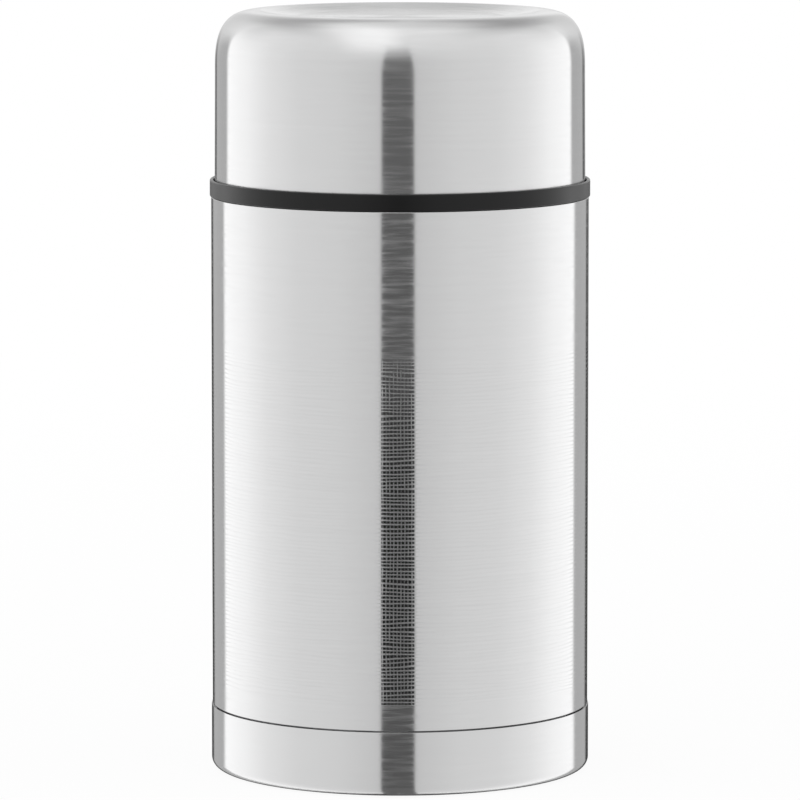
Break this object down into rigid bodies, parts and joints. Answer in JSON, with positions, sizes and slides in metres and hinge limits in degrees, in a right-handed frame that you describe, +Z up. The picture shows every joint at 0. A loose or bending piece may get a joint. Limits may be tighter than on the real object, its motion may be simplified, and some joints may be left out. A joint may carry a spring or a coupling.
{
  "type": "insulated food jar",
  "caption": "Tall round double-walled steel food jar with a screw-off cup lid, a black rim ring and an insulated screw-in stopper with a push-button vent.",
  "frame": {"origin": "centre of the base, on the surface that the jar stands on", "axes": "+Z up along the jar's axis, +X and +Y across it; the jar is the same all round but for the getter, the grip's flutes and the finger hollows"},
  "size_m": [0.1208, 0.1208, 0.2418],
  "materials": {
    "brushed_steel": "fine brushed round the body, satin",
    "liner_steel": "plain drawn steel, electropolished inside",
    "spring_steel": "bright drawn wire and rod",
    "solder": "dull, with a flowed surface",
    "getter_powder": "pressed powder, dull",
    "foil": "bright foil with light creases",
    "black_plastic": "fine matte moulded plastic",
    "grey_plastic": "satin moulded plastic",
    "silicone": "translucent satin silicone",
    "foam": "fine closed-cell foam"
  },
  "bodies": {
    "vessel": {"outer_shell": "brushed_steel", "inner_liner": "liner_steel", "vacuum_base": "liner_steel", "vacuum_plug": "solder", "getter_holder": "liner_steel", "getter_tablet": "getter_powder", "reflective_foil": "foil", "base_cap": "brushed_steel"},
    "stopper": {"stopper_body": "grey_plastic", "stopper_cover": "black_plastic", "stopper_foam": "foam", "stopper_gasket": "silicone", "vent_spring": "spring_steel"},
    "vent": {"vent_button": "grey_plastic", "vent_stem": "spring_steel", "vent_valve": "grey_plastic", "vent_seal": "silicone"},
    "cup": {"cup_shell": "brushed_steel", "cup_liner": "black_plastic", "cup_insulation": "foam"}
  },
  "joints": [
    {"name": "stopper_lift", "type": "slide", "parent": "vessel", "child": "stopper", "axis": [0, 0, 1], "range_m": [0, 0.06]},
    {"name": "vent_press", "type": "slide", "parent": "stopper", "child": "vent", "axis": [0, 0, -1], "range_m": [0, 0.003], "stiffness_N_per_m": 900, "springref_m": -0.004, "deforming": ["vent_spring"]},
    {"name": "cup_lift", "type": "slide", "parent": "stopper", "child": "cup", "axis": [0, 0, 1], "range_m": [0, 0.08]}
  ]
}
